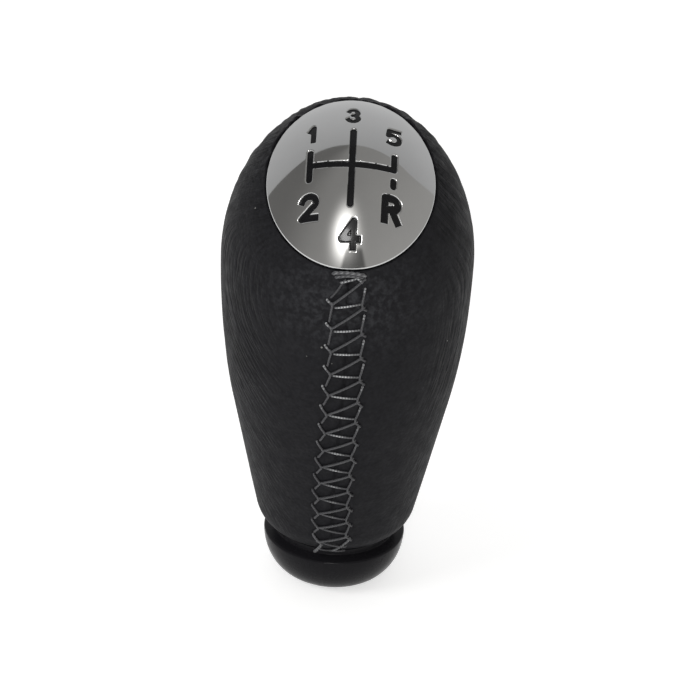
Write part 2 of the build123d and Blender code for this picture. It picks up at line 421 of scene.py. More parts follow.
def line_place(turn, height):
    """Distance across the leather's fine lines, the same all along a line."""
    sides = zip(line_turning, line_slope_over, line_slope_under)
    left_stray, right_stray = [line_stray(height, *side) for side in sides]
    right_share = smoothstep(-line_front_turn, line_front_turn, turn)
    stray = left_stray * (1 - right_share) + right_stray * right_share
    straight_behind = 1 - smoothstep(*line_straight_turns, np.abs(turn))
    return np.abs(turn) * belly_radius - stray * straight_behind


def leather_tension(turn, height):
    """Share from 0 to 1 of how much the leather's fine lines show, in relief and in painted shade, most on
    either side of the front.
    """
    beside_seam = np.where(turn < 0, smoothstep(*tension_left, turn), smoothstep(*tension_right, turn))
    behind = smoothstep(*tension_behind, np.abs(turn))
    up = tension_low_down + (1 - tension_low_down) * smoothstep(*tension_heights, height)
    return beside_seam * (1 - tension_lost_behind * behind) * up


def round_noise(turn, height, columns, rise, seed):
    return lattice_noise((turn / (2 * pi) + 0.5) * columns, (height - toe_height) / rise, columns, seed)


def leather_wrinkles(turn, height):
    """Relief of the slow unevenness and the fine lines."""
    across = line_place(turn, height) / line_spacing + round_noise(turn, height, *wander_noise) * line_wander
    along = (height - toe_height) / line_rise + line_swing + line_swing * np.sin(turn)
    lines = (1 - np.abs(lattice_noise(across, along, line_columns, line_seed))) ** line_sharpness
    swell = swell_depth * round_noise(turn, height, *swell_noise)
    return swell - line_depth * lines * leather_tension(turn, height)


# Folds where the leather is drawn in under the cap: their count round the rim, length, slant (folds moved on
# for each millimetre from the rim) and seed
fold_noise = (64, 7, 0.16, 13)
small_fold_noise = (110, 4, 0.0, 17)
long_fold_noise = (130, 5, -0.2, 19)
fold_along = (-0.45, 0.75)  # shares of the cap's half length between which the folds come in
fold_limit = 40.0  # distances from the rim count no further
fold_fade = 6.0
fold_depth = 0.04
fold_depth_behind = 0.22
small_fold_depth = 0.14
small_fold_swell = 0.28
long_fold_depth = 0.17
long_fold_reach = (4.0, 22.0)
# values of the long folds between which their valleys come in, for painted shade
long_fold_valley = (0.2, -0.5)


def beside_cap(foot):
    """Share of a turn round the cap, distance from its rim, and a share from 0 to 1 for the upper side."""
    to_cap = foot - cap_centre
    along = to_cap @ cap_up
    rim_turn = np.arctan2(to_cap[..., 0], along) / (2 * pi) + 0.5
    beside_rim = (np.hypot(to_cap[..., 0] / cap_half_width, along / cap_half_length) - 1) * cap_half_width
    from_rim = np.clip(np.hypot(beside_rim, to_cap @ cap_axis), 0, fold_limit)
    return rim_turn, from_rim, smoothstep(*fold_along, along / cap_half_length)


def rim_folds(rim_turn, from_rim, back):
    """Relief of the folds round the cap, deepest behind it, and a share from 0 to 1 for their valleys, which
    take painted shade.
    """
    kinds = []
    for count, length, slant, seed in (fold_noise, small_fold_noise, long_fold_noise):
        kinds.append(lattice_noise(rim_turn * count + from_rim * slant, from_rim / length, count, seed))
    folds, small_folds, long_folds = kinds
    at_rim = folds * (fold_depth + fold_depth_behind * back)
    at_rim = at_rim + (small_fold_depth * small_folds + small_fold_swell) * back
    fade = back * (1 - smoothstep(*long_fold_reach, from_rim))
    relief = at_rim * np.exp(-from_rim / fold_fade) + long_fold_depth * long_folds * fade
    return relief, fade * smoothstep(*long_fold_valley, long_folds)


# Relief beside the seam: height, distance from the middle and half width of a ridge or a trench
seam_groove = (-0.35, 0, 0.3)
edge_swell = (0.08, 1.2, 0.7)
edge_trench = (-0.06, 3.7, 0.5)
seam_start_rows = (-0.6, 0.2)
pucker_depth = 0.05
pucker_places = (2.8, 4.2)  # the puckers come in between these distances
pucker_fade_start = 3.8
pucker_fade = 2.4
pucker_lead = 0.35  # share of a row by which they lead at the right and lag at the left
needle_hole_depth = 0.26
needle_hole_radius = 0.42


def seam_relief(across, height):
    """The groove between the two edges of leather, the needle holes and the puckers beside them."""
    away = np.abs(across)
    rows = np.linspace(-1, row_count, table_steps)
    row = np.interp(-height, -row_height(rows), rows)
    in_rows = smoothstep(*seam_start_rows, row) * (1 - smoothstep(row_count - 1, row_count, row))
    ridges = sum(rounded_ridge(away, *ridge) for ridge in (seam_groove, edge_swell, edge_trench))
    fade = np.exp(-np.clip(away - pucker_fade_start, 0, None) / pucker_fade)
    fade = fade * smoothstep(*pucker_places, away)
    puckers = -pucker_depth * np.cos(2 * pi * (row + pucker_lead * np.sign(across))) * fade
    holes = np.zeros_like(height)
    for number in range(1, row_count - 1):
        for place_height, place_across in (*left_holes(number), *right_holes(number)):
            gap = ((height - place_height) ** 2 + (across - place_across) ** 2) / needle_hole_radius**2
            holes = np.minimum(holes, -needle_hole_depth * np.exp(-gap))
    return (ridges + puckers) * in_rows + holes


# Where the leather has painted highlights in flecks, as if it caught the light: in front, under the cap, and
# on the folds behind it
glint_height = 71.0
glint_half_height = 9.0
glint_half_width = 14.0
glint_on_folds = 0.7
glint_fold_reach = (2.0, 14.0)

# How far the fine lines' noise is drawn out, up and across
line_stretch_up = 9
line_stretch_across = 5


def leather_glint(across, height, from_rim, back):
    """Share of how much the leather's painted highlight flecks show."""
    away = ((height - glint_height) / glint_half_height) ** 2
    in_front = np.exp(-away - (across / glint_half_width) ** 2)
    return in_front + glint_on_folds * back * (1 - smoothstep(*glint_fold_reach, from_rim))


def leather_sleeve(material):
    turn = leather_turns()
    height = leather_outline(turn)
    rows = len(height)
    turn = np.broadcast_to(turn, height.shape)
    radius = surface_radius(height)
    across = turn * radius - seam_shift(height)
    foot = round_axis(radius, turn, height)
    lean = surface_lean(height)
    normal = outward_normal(turn, lean)
    rim_turn, from_rim, back = beside_cap(foot)
    folds, valley_shade = rim_folds(rim_turn, from_rim, back)
    relief = leather_wrinkles(turn, height) + folds + seam_relief(across, height)
    hem_fade = smoothstep(0, toe_rows, np.arange(rows))[:, None]
    outside = foot + (relief * hem_fade)[..., None] * normal

    edge = outside[-1]
    edge_normal = normal[-1]
    towards_cap = outward_normal(turn[-1], lean[-1] + pi / 2)
    roll_centre = edge - leather_roll * edge_normal
    roll = []
    for angle in np.linspace(0, pi / 2, roll_rows + 1)[1:]:
        roll.append(roll_centre + leather_roll * (cos(angle) * edge_normal + sin(angle) * towards_cap))

    inward = edge - cap_centre
    inward = -unit(inward - (inward @ cap_axis)[:, None] * cap_axis)
    wall_foot = roll[-1] - ((roll[-1] - cap_centre) @ cap_axis - cap_seat_level)[:, None] * cap_axis
    lip = wall_foot + lip_width * inward
    under_lip = lip - leather_thickness * cap_axis

    picked = np.arange(rows - 1, -1, -inner_row_step)
    inside = foot[picked] - leather_thickness * normal[picked]
    points = np.concatenate([outside, np.stack([*roll, wall_foot, lip, under_lip]), inside])
    faces = grid_faces(len(points), leather_columns, True, True)
    piece = make_piece("leather_sleeve", points, faces, material)

    tension = leather_tension(turn, height)
    glint = leather_glint(across, height, from_rim, back)
    for name, shares in (("tension", tension), ("glint", glint), ("valley_shade", valley_shade)):
        padded = np.zeros(points.shape[:2])
        padded[:rows] = shares
        store(piece, name, padded)
    lines = np.zeros(points.shape)
    stretched = [line_place(turn, height), height / line_stretch_up, foot[..., 0] / line_stretch_across]
    lines[:rows] = np.stack(stretched, axis=-1) * MM
    piece.data.attributes.new("lines", "FLOAT_VECTOR", "POINT").data.foreach_set("vector", lines.ravel())


# Chrome cap

cap_grid = 280
cap_edge_rings = 6
cap_hollow_rings = 5
cap_hollow_middle = 1.0  # half width of the innermost ring
bow_points = 18
press_slope = (0.05, -0.13)  # a mark goes down between these distances from its edge


def bow(centre, radii, start, end):
    """Points along part of an ellipse, from a start to an end angle in degrees."""
    angle = np.radians(np.linspace(start, end, bow_points))
    return [(centre[0] + radii[0] * cos(a), centre[1] + radii[1] * sin(a)) for a in angle]


# Middle lines of plain numerals in a box one unit wide and one high
glyph_strokes = {
    "1": [[(-0.45, 0.22), (0.2, 0.5), (0.2, -0.5)]],
    "2": [bow((0, 0.21), (0.5, 0.29), 165, -28) + [(-0.5, -0.5), (0.5, -0.5)]],
    "3": [bow((0, 0.25), (0.44, 0.25), 155, -90) + bow((0, -0.25), (0.5, 0.25), 80, -155)],
    "4": [[(0.22, -0.5), (0.22, 0.5), (-0.5, -0.2), (0.5, -0.2)]],
    "5": [[(0.42, 0.5), (-0.34, 0.5), (-0.42, 0.06)] + bow((-0.04, -0.17), (0.52, 0.33), 128, -125)],
    "R": [
        [(-0.45, -0.5), (-0.45, 0.5)] + bow((0.08, 0.24), (0.4, 0.26), 90, -90) + [(-0.45, -0.02)],
        [(0.05, -0.02), (0.47, -0.5)],
    ],
}

# Each numeral's middle in the marking plane, its width, its height and the width of its strokes
glyph_places = {
    "3": ((-0.2, 11.15), 2.9, 4.3, 1.05),
    "1": ((-7.4, 6.8), 1.9, 4.2, 1.05),
    "5": ((7.3, 7.0), 3.3, 4.1, 1.0),
    "2": ((-7.35, -7.3), 3.6, 4.7, 1.15),
    "R": ((7.4, -7.0), 3.9, 4.9, 1.35),
    "4": ((0.2, -11.65), 4.1, 5.0, 1.2),
}


def gate_strokes():
    """Middle lines of the gate and the reverse dash, in the marking plane."""
    half = mark_width / 2
    dash_half = reverse_dash_length / 2 - half
    return [
        [(0, half - gate_middle_reach), (0, gate_middle_reach - half)],
        [(-gate_spacing, half - gate_left_reach), (-gate_spacing, gate_left_reach - half)],
        [(-gate_spacing, 0), (gate_spacing, 0), (gate_spacing, gate_right_reach - half)],
        [(gate_spacing, reverse_dash_middle - dash_half), (gate_spacing, reverse_dash_middle + dash_half)],
    ]


def numeral_strokes():
    """Middle lines of the numerals in the marking plane, each with its width."""
    strokes = []
    for glyph, (middle, width, height, weight) in glyph_places.items():
        for stroke in glyph_strokes[glyph]:
            line = [(middle[0] + x * (width - weight), middle[1] + y * (height - weight)) for x, y in stroke]
            strokes.append((line, weight))
    return strokes


def stroke_distance(flat, stroke, width, square_ends):
    """Distance from the edge of a stroke, less than nothing inside it."""
    nearest = np.full(len(flat), np.inf)
    knots = np.array(stroke, float)
    last = len(knots) - 2
    for number, (start, end) in enumerate(zip(knots[:-1], knots[1:])):
        length = np.linalg.norm(end - start)
        step = (end - start) / length
        along = (flat - start) @ step
        beside = np.abs((flat - start) @ np.array([-step[1], step[0]]))
        past = np.clip(np.maximum(-along, along - length), 0, None)
        away = np.hypot(beside, past)
        if square_ends:
            at_end = ((number == 0) & (along < 0)) | ((number == last) & (along > length))
            away = np.where(at_end, np.maximum(beside, past), away)
        nearest = np.minimum(nearest, away)
    return nearest - width / 2


def mark_distance(points):
    """Distance in the marking plane from the edge of the nearest stroke, less than nothing inside it."""
    offset = points - cap_centre
    flat = np.stack([offset[:, 0], offset @ mark_up], axis=-1)
    distances = [stroke_distance(flat, stroke, mark_width, False) for stroke in gate_strokes()]
    distances += [stroke_distance(flat, line, weight, True) for line, weight in numeral_strokes()]
    return np.min(distances, axis=0)


def disc_grid():
    """A square grid bent onto the unit disc, row by row."""
    line = np.linspace(-1, 1, cap_grid)
    a, b = np.meshgrid(line, line)
    wide = np.abs(a) > np.abs(b)
    radius = np.where(wide, a, b)
    safe_a = np.where(a == 0, 1, a)
    safe_b = np.where(b == 0, 1, b)
    angle = np.where(wide, pi / 4 * b / safe_a, pi / 2 - pi / 4 * a / safe_b)
    return (radius * np.cos(angle)).ravel(), (radius * np.sin(angle)).ravel()


def border_loop():
    """Indices of a square grid's border, in order."""
    side = np.arange(cap_grid - 1)
    last = cap_grid - 1
    return np.concatenate([
        side,
        side * cap_grid + last,
        last * cap_grid + last - side,
        (last - side) * cap_grid,
    ])


def rim_ellipse(angle, inset):
    """Distances across and along of the cap's rim, drawn in by an inset."""
    return (cap_half_width - inset) * np.cos(angle), (cap_half_length - inset) * np.sin(angle)


def cap_rings(angle):
    """Rings from the rounded edge down the wall, under the flange and over the hollow inside."""
    rings = []
    for share in np.sin(np.linspace(0, pi / 2, cap_edge_rings + 1))[1:]:
        drop = cap_edge_radius * (1 - sqrt(1 - share**2))
        across, along = rim_ellipse(angle, cap_edge_radius * (1 - share))
        rings.append(cap_point(across, along, dome_level(across, along, cap_proud) - drop))
    for inset in (0, cap_flange_width):
        across, along = rim_ellipse(angle, inset)
        rings.append(cap_point(across, along, np.full_like(across, cap_seat_level)))
    for inset in np.linspace(cap_flange_width, cap_half_width - cap_hollow_middle, cap_hollow_rings):
        across, along = rim_ellipse(angle, inset)
        hollow = dome_level(across, along, cap_proud - cap_wall)
        rings.append(cap_point(across, along, np.maximum(hollow, cap_seat_level)))
    return rings


def shift_pattern_cap(material):
    x, y = disc_grid()
    across = x * (cap_half_width - cap_edge_radius)
    along = y * (cap_half_length - cap_edge_radius)
    plain = cap_point(across, along, dome_level(across, along, cap_proud))
    distance = mark_distance(plain)
    normal = (plain - np.array([0, 0, belly_height])) / np.array([belly_radius, belly_radius, dome_rise]) ** 2
    pressed = mark_depth * smoothstep(*press_slope, distance)
    top = plain - pressed[:, None] * unit(normal)

    loop = border_loop()
    rings = cap_rings(np.arctan2(y[loop], x[loop]))
    middle = cap_centre + cap_axis * dome_level(np.zeros(1), np.zeros(1), cap_proud - cap_wall)
    points = np.concatenate([top, *rings, middle[None, :]])

    faces = grid_faces(cap_grid, cap_grid, False, False)
    rows = [loop]
    for number in range(len(rings)):
        rows.append(len(top) + number * len(loop) + np.arange(len(loop)))
    for upper, lower in zip(rows[:-1], rows[1:]):
        quads = np.stack([upper, lower, np.roll(lower, -1), np.roll(upper, -1)], axis=-1)
        faces += quads.tolist()
    last = rows[-1]
    faces += np.stack([last, np.full_like(last, len(points) - 1), np.roll(last, -1)], axis=-1).tolist()

    piece = make_piece("shift_pattern_cap", points, faces, material)
    unmarked = np.full(len(points) - len(top), cap_half_width)
    store(piece, "mark_distance", np.concatenate([distance, unmarked]))


# Threads

thread_sides = 12
thread_plies = 3
ply_depth = 0.17  # share of the thread's radius
ply_pitch = 10.0  # length in which a ply goes once round, in radii of the thread
thread_step = 0.08
bead_level = 0.55  # painted highlight on the top of a thread, and how much it swings from ply to ply
bead_swing = 0.45
ridge_lobes = (-0.6, 0.9)  # between these a ply's groove goes over to its ridge


def smooth_path(knots):
    """Points close together on a smooth line through knots of height, distance across and lift."""
    knots = np.array(knots, float)
    padded = np.concatenate([[2 * knots[0] - knots[1]], knots, [2 * knots[-1] - knots[-2]]])
    line = []
    for before, start, end, after in zip(padded, padded[1:], padded[2:], padded[3:]):
        count = max(2, int(np.linalg.norm(end - start) / thread_step))
        t = np.linspace(0, 1, count, endpoint=False)[:, None]
        pull_start = (end - before) / 2
        pull_end = (after - start) / 2
        line.append(
            (2 * t**3 - 3 * t**2 + 1) * start
            + (t**3 - 2 * t**2 + t) * pull_start
            + (3 * t**2 - 2 * t**3) * end
            + (t**3 - t**2) * pull_end
        )
    return np.concatenate([*line, knots[-1:]])


def thread_tube(knots, radius, painted_shine, first):
    """A twisted thread along knots on the leather: points and faces, and for each point its painted
    highlight, which changes with each ply that crosses on top, and how far up a ply's ridge it is."""
    path = smooth_path(knots)
    middle, normal = on_leather(path[:, 0], path[:, 1], path[:, 2])
    along = unit(np.gradient(middle, axis=0))
    side = unit(np.cross(along, normal))
    up = np.cross(side, along)
    run = np.concatenate([[0], np.cumsum(np.linalg.norm(np.diff(middle, axis=0), axis=1))])
    angle = np.linspace(0, 2 * pi, thread_sides, endpoint=False)
    twist = 2 * pi * run / (ply_pitch * radius)
    lobes = np.cos(thread_plies * (angle[None, :] - twist[:, None]))
    size = radius * (1 + ply_depth * lobes)
    ring = (size * np.cos(angle))[..., None] * side[:, None, :]
    ring = ring + (size * np.sin(angle))[..., None] * up[:, None, :]
    points = (middle[:, None, :] + ring).reshape(-1, 3)
    faces = grid_faces(len(middle), thread_sides, False, True, first)
    faces.append([first + k for k in range(thread_sides)])
    faces.append([first + len(points) - 1 - k for k in range(thread_sides)])
    bead = bead_level + bead_swing * np.cos(thread_plies * (pi / 2 - twist))
    bright = bead * np.interp(run / run[-1], np.linspace(0, 1, len(painted_shine)), painted_shine)
    return points, faces, np.repeat(bright, thread_sides), smoothstep(*ridge_lobes, lobes).ravel()


def thread_piece(node, runs, material):
    """One piece of several threads, each a list of knots, a radius and the painted highlight at even steps
    along it.
    """
    tubes = []
    count = 0
    for run in runs:
        tubes.append(thread_tube(*run, count))
        count += len(tubes[-1][0])
    points, faces, painted_shines, ridges = zip(*tubes)
    all_faces = [face for tube in faces for face in tube]
    piece = make_piece(node, np.concatenate(points), all_faces, material)
    store(piece, "painted_shine", np.concatenate(painted_shines))
    store(piece, "ridge", np.concatenate(ridges))


# Stitches: the lifts are of a stitch's middle over the leather
stitch_radius = 0.18
hole_depth = 0.5  # how far a stitch goes down its needle hole
hole_slant = 0.12
hole_lift = 0.08
stitch_lift = 0.3
crossing_lift = 0.42
bend_past_bar = 0.15

# Runs of lacing
bar_radius = 0.16
slant_radius = 0.2
run_tail = 0.3  # how far past its ends a run is sunk into the leather
run_lift = 0.1  # room under the ends of a run
run_bow = 0.12  # further room under its middle
run_knots = 5

# Painted highlight at even steps along a thread, and the rows between which it is lost
stitch_shine = (0.5, 0.9, 0.15, 0.03, 0.03, 0.02, 0.0, 0.0, 0.0, 0.0)
stitch_dull_rows = (3, 10)
bar_shine = (0.1, 0.8, 1.0, 1.0, 0.8, 0.3, 0.2, 0.15)
low_bar_shine = (0.0, 0.1, 0.6, 1.0, 0.5, 0.1, 0.05, 0.05)
low_bar_rows = (5, 8)  # bars go over to the lower ones' shine between these rows
bar_dull_rows = (7, 14)
slant_shine = (0.02, 0.05, 0.02)


def dulled(painted_shine, rows, row):
    return [bright * (1 - float(smoothstep(*rows, row))) for bright in painted_shine]


def between(start, finish, share):
    return start[0] + (finish[0] - start[0]) * share, start[1] + (finish[1] - start[1]) * share


def edge_loop(before, bend, after):
    """One stitch up from a needle hole, round the lacing and down the next hole."""
    outward = hole_slant if before[1] > 0 else -hole_slant
    return [
        (before[0], before[1] + outward, -hole_depth),
        (*before, hole_lift),
        (*between(before, bend[0], 0.5), stitch_lift),
        *[(*place, crossing_lift) for place in bend],
        (*between(after, bend[-1], 0.5), stitch_lift),
        (*after, hole_lift),
        (after[0], after[1] + outward, -hole_depth),
    ]


def edge_stitches(side, material):
    runs = []
    for row in range(1, row_count - 1):
        if side < 0:
            before, after = left_holes(row)
            bend = [(left_node(row), -slant_reach)]
        else:
            before, after = right_holes(row)
            bend = [(float(node_height(row, 1)), bar_right + bend_past_bar), (right_node(row), slant_reach)]
        painted_shine = dulled(stitch_shine, stitch_dull_rows, row)
        runs.append((edge_loop(before, bend, after), stitch_radius, painted_shine))
    thread_piece("edge_stitches_left" if side < 0 else "edge_stitches_right", runs, material)


def bowed_run(start, finish, radius):
    """Knots over the leather between two points of height and distance across, sunk at both ends."""
    outward = run_tail if start[1] > finish[1] else -run_tail
    run = [(start[0], start[1] + outward, 0.0)]
    for share in np.linspace(0, 1, run_knots):
        run.append((*between(start, finish, share), radius + run_lift + run_bow * sin(pi * share)))
    run.append((finish[0], finish[1] - outward, 0.0))
    return run


# Loose runs at the two ends of the seam: radius, painted highlight, and knots of height, distance across and
# lift
seam_ends = [
    (0.3, 0.2, (76.9, -2.8, 0.0), (77.15, -2.3, 0.3), (77.3, -0.2, 0.4), (77.0, 2.3, 0.35), (76.6, 3.0, 0.0)),
    (0.26, 0.12, (76.3, -2.3, 0.0), (76.5, -1.8, 0.3), (76.8, 0.0, 0.55), (76.6, 1.8, 0.3), (76.3, 2.5, 0.0)),
    (0.18, 0.6, (75.4, -1.4, 0.1), (75.6, -0.9, 0.4), (76.05, 0.5, 0.48), (76.4, 1.6, 0.2)),
    (0.16, 0, (76.1, -0.5, 0.2), (75.2, -1.2, 0.4), (74.0, -1.9, 0.3), (72.8, -2.8, 0.2), (72.4, -3.1, -0.2)),
    (0.2, 0.5, (76.5, 1.3, 0.2), (76.1, 1.9, 0.35), (75.5, 2.5, 0.2)),
    (0.2, 0.1, (16.5, -3.9, -0.5), (16.45, -3.75, 0.1), (15.5, -2.95, 0.32), (14.6, -2.1, 0.3)),
    (0.27, 0.1, (14.7, -1.9, 0.4), (13.4, -2.5, 0.5), (12.2, -3.0, 0.7), (11.6, -3.3, 0.9)),
    (0.19, 0, (12.6, -2.7, 0.0), (12.1, -2.2, 0.25), (11.6, -0.9, 0.3), (12.3, 0.2, 0.3)),
    (0.2, 0.15, (16.0, 3.5, -0.5), (15.9, 3.3, 0.2), (14.2, 1.8, 0.32), (12.4, 0.1, 0.4)),
    (0.19, 0, (12.5, 0.1, 0.3), (11.9, 1.0, 0.35), (11.6, 2.5, 0.25)),
]


def cross_lacing(material):
    runs = []
    for row in range(1, row_count):
        left = (float(node_height(row, -1)), -bar_left)
        right = (float(node_height(row, 1)), bar_right)
        low_share = float(smoothstep(*low_bar_rows, row))
        painted_shine = [upper + (lower - upper) * low_share for upper, lower in zip(bar_shine, low_bar_shine)]
        runs.append((bowed_run(left, right, bar_radius), bar_radius, dulled(painted_shine, bar_dull_rows, row)))
    for row in range(row_count - 1):
        start = (right_node(row), slant_reach)
        finish = (left_node(row + 1), -slant_reach)
        runs.append((bowed_run(start, finish, slant_radius), slant_radius, slant_shine))
    for radius, painted_shine, *knots in seam_ends:
        runs.append((knots, radius, [painted_shine]))
    thread_piece("cross_lacing", runs, material)


# Base collar

collar_columns = 480
collar_longest_step = 1.0
collar_edge_round = 0.2
rounding_points = 12
bowl_points = 26
bowl_end_angle = 0.08  # just under the rim
parting_turn = radians(-7)
parting_ridge = (0.06, 0, 0.2)  # height, distance from the parting line and half width


def rounded_outline(corners):
    """A closed outline from corners of radius, height and rounding, with each rounding as an arc."""
    outline = []
    count = len(corners)
    for number, (x, y, rounding) in enumerate(corners):
        corner = np.array([x, y], float)
        if rounding == 0:
            outline.append(corner)
            continue
        before = np.array(corners[number - 1][:2], float) - corner
        after = np.array(corners[(number + 1) % count][:2], float) - corner
        before = before / np.linalg.norm(before)
        after = after / np.linalg.norm(after)
        half = np.arccos(np.clip(before @ after, -1, 1)) / 2
        bisector = (before + after) / np.linalg.norm(before + after)
        centre = corner + bisector * rounding / sin(half)
        first = corner + before * rounding / tan(half) - centre
        last = corner + after * rounding / tan(half) - centre
        opening = pi - 2 * half
        for share in np.linspace(0, 1, rounding_points):
            mix = sin((1 - share) * opening) * first + sin(share * opening) * last
            outline.append(centre + mix / sin(opening))
    return np.array(outline)


def subdivided(outline):
    """The outline with long straight stretches divided."""
    dense = []
    for start, end in zip(outline, np.roll(outline, -1, axis=0)):
        count = max(1, int(np.ceil(np.linalg.norm(end - start) / collar_longest_step)))
        dense.extend(start + (end - start) * k / count for k in range(count))
    return np.array(dense)


def base_collar(material):
    swell = collar_rim_radius - collar_foot_radius
    bowl = [
        (collar_foot_radius + swell * cos(angle), collar_rim_height * (1 - sin(angle)), 0)
        for angle in np.linspace(pi / 2, bowl_end_angle, bowl_points)
    ]
    corners = [
        (collar_mouth_radius, 0, collar_edge_round),
        *bowl,
        (collar_rim_radius, collar_rim_height, collar_rim_round),
        (collar_neck_radius, collar_rim_height + collar_ledge_rise, collar_edge_round),
        (collar_neck_radius, toe_height, 0),
        (hem_radius, toe_height, 0),
        (hem_radius, collar_floor, 0),
        (collar_mouth_radius, collar_floor, 0),
    ]
    outline = subdivided(rounded_outline(corners))
    turn = np.linspace(-pi, pi, collar_columns, endpoint=False)
    radius = np.repeat(outline[:, :1], collar_columns, axis=1)
    height = np.repeat(outline[:, 1:], collar_columns, axis=1)
    wall = smoothstep(collar_foot_radius, collar_rim_radius, radius) * (height < collar_rim_height)
    for place in (parting_turn, parting_turn + pi):
        gap = (turn - place + pi) % (2 * pi) - pi
        radius = radius + wall * rounded_ridge(gap * collar_rim_radius, *parting_ridge)
    points = round_axis(radius, turn, height)
    faces = grid_faces(len(outline), collar_columns, True, True)
    make_piece("base_collar", points, faces, material)


# Materials


class Nodes:
    """Adds nodes to one material or world, and links them."""

    def __init__(self, owner, space="Object"):
        owner.use_nodes = True
        self.owner = owner
        self.tree = owner.node_tree
        self.place = self.add("ShaderNodeTexCoord").outputs[space]

    def add(self, kind, inputs=None, **settings):
        node = self.tree.nodes.new(kind)
        for setting, value in settings.items():
            setattr(node, setting, value)
        for name, value in (inputs or {}).items():
            self.put(node.inputs[name], value)
        return node

    def put(self, socket, value):
        if isinstance(value, bpy.types.NodeSocket):
            self.tree.links.new(value, socket)
        else:
            socket.default_value = value

    def shade(self, **values):
        """Sets or links the shader's sockets, by their names in small letters."""
        shader = self.tree.nodes["Principled BSDF"]
        for name, value in values.items():
            self.put(shader.inputs[name.replace("_", " ").title().replace("Ior", "IOR")], value)

    def stored(self, name, output="Fac"):
        """What is kept under a name for each point."""
        return self.add("ShaderNodeAttribute", attribute_name=name).outputs[output]

    def noise(self, size, detail=3.0, roughness=0.55, place=None):
        """Noise with features about a size in millimetres."""
        inputs = {"Vector": place or self.place, "Scale": 1 / (size * MM)}
        inputs.update({"Detail": detail, "Roughness": roughness})
        return self.add("ShaderNodeTexNoise", inputs).outputs["Fac"]

    def highest(self, one, other):
        return self.add("ShaderNodeMath", {0: one, 1: other}, operation="MAXIMUM").outputs[0]

    def times(self, one, other):
        return self.add("ShaderNodeMath", {0: one, 1: other}, operation="MULTIPLY").outputs[0]

    def cells(self, size, feature):
        """Distances in cells about a size in millimetres."""
        inputs = {"Vector": self.place, "Scale": 1 / (size * MM)}
        return self.add("ShaderNodeTexVoronoi", inputs, feature=feature).outputs["Distance"]

    def spread(self, value, low, high, to_low, to_high):
        inputs = {"Value": value, "From Min": low, "From Max": high, "To Min": to_low, "To Max": to_high}
        return self.add("ShaderNodeMapRange", inputs).outputs["Result"]

    def patches(self, noise, spread):
        return self.spread(self.noise(*noise), *spread)

    def mixed(self, share, one, other):
        node = self.add("ShaderNodeMix", data_type="RGBA")
        self.put(node.inputs[0], share)
        self.put(node.inputs[6], one)
        self.put(node.inputs[7], other)
        return node.outputs[2]

    def bump(self, height, depth, strength, under=None):
        """Bump of a depth in millimetres, over another bump if there is one."""
        inputs = {"Height": height, "Distance": depth * MM, "Strength": strength}
        if under is not None:
            inputs["Normal"] = under
        return self.add("ShaderNodeBump", inputs).outputs["Normal"]


def new_material(name):
    return Nodes(bpy.data.materials.new(name))


# Colours, each with the darker one first where a material wanders between two
leather_tones = ((0.0118, 0.0118, 0.0138, 1), (0.016, 0.016, 0.0185, 1))
leather_pores = (0.0064, 0.0064, 0.0076, 1)
# painted shade in the fine lines and the folds' valleys
leather_painted_crease_shade = (0.0035, 0.0035, 0.004, 1)
# painted highlight of the flecks
leather_painted_glint = (0.047, 0.048, 0.053, 1)
lint_colour = (0.25, 0.25, 0.24, 1)
thread_worn = ((0.049, 0.05, 0.054, 1), (0.075, 0.076, 0.082, 1))
# darker towards the grooves between the plies
thread_groove = (0.032, 0.032, 0.036, 1)
# painted highlights of the threads, from a ply's groove to its ridge
thread_painted_highlights = ((0.42, 0.43, 0.45, 1), (0.88, 0.9, 0.92, 1))
plating_tones = ((0.47, 0.472, 0.475, 1), (0.54, 0.542, 0.54, 1))
mark_paint = (0.008, 0.008, 0.009, 1)
gloss_tones = ((0.0088, 0.0085, 0.0102, 1), (0.012, 0.0117, 0.0134, 1))
core_tones = ((0.03, 0.03, 0.031, 1), (0.045, 0.045, 0.046, 1))
nylon_tones = ((0.085, 0.085, 0.09, 1), (0.115, 0.115, 0.12, 1))

# Looks of the materials. A noise has a size in millimetres, a detail and a roughness, and a spread takes it
# from one range to another. Patches and a surface's roughness have both. A bump has a depth in millimetres
# and a strength.
leather_tone_size = 6.0
leather_specular = 0.1
leather_roughness = ((2.5,), (0.3, 0.7, 0.52, 0.68))
leather_grain = (0.25, 4.0)
leather_grain_bump = (0.05, 0.45)
line_noise = (0.85, 1.5, 0.5)
line_spread = (0.38, 0.6, 1, 0)
line_patches = ((7.0,), (0.38, 0.6, 0.4, 1))
line_bump = (-0.2, 0.9)
crease_shade_share = 0.8
pore_patches = ((0.8, 2.0), (0.35, 0.65, 0, 0.6))
painted_glint_patches = ((1.1, 2.5, 0.6), (0.43, 0.7, 0, 0.8))
pebble_size = 0.6
pebble_bump = (0.09, 0.7)
lint_size = 5.0
lint_spread = (0.03, 0.04, 1, 0)
lint_heights = (50, 56)  # lint comes in between these heights and these places in front, in millimetres
lint_front = (-8, -12)
thread_tone_size = 1.5
thread_sheen = 0.1
thread_roughness = ((0.4,), (0.3, 0.7, 0.42, 0.6))
fibre_noise = (0.09, 4.0)
fibre_bump = (0.03, 0.4)
smudge_noise = (9.0, 5.0, 0.6)
polish_spread = (0.35, 0.7, 0.035, 0.085)
paint_edge = (-0.06, -0.02)  # distances from a mark's edge between which its paint ends
paint_specular = 0.18
paint_roughness = 0.1

# Plastics: size of the tones, specular level, roughness, noise of the grain and its bump
gloss_look = (8.0, 0.08, ((3.0, 5.0, 0.65), (0.3, 0.75, 0.18, 0.34)), (1.2, 2.0), (0.02, 0.08))
core_look = (4.0, 0.5, ((1.0,), (0.3, 0.7, 0.5, 0.65)), (0.3, 3.0), (0.03, 0.3))
nylon_look = (5.0, 0.5, ((1.5,), (0.3, 0.7, 0.38, 0.52)), (0.5, 3.0), (0.03, 0.2))


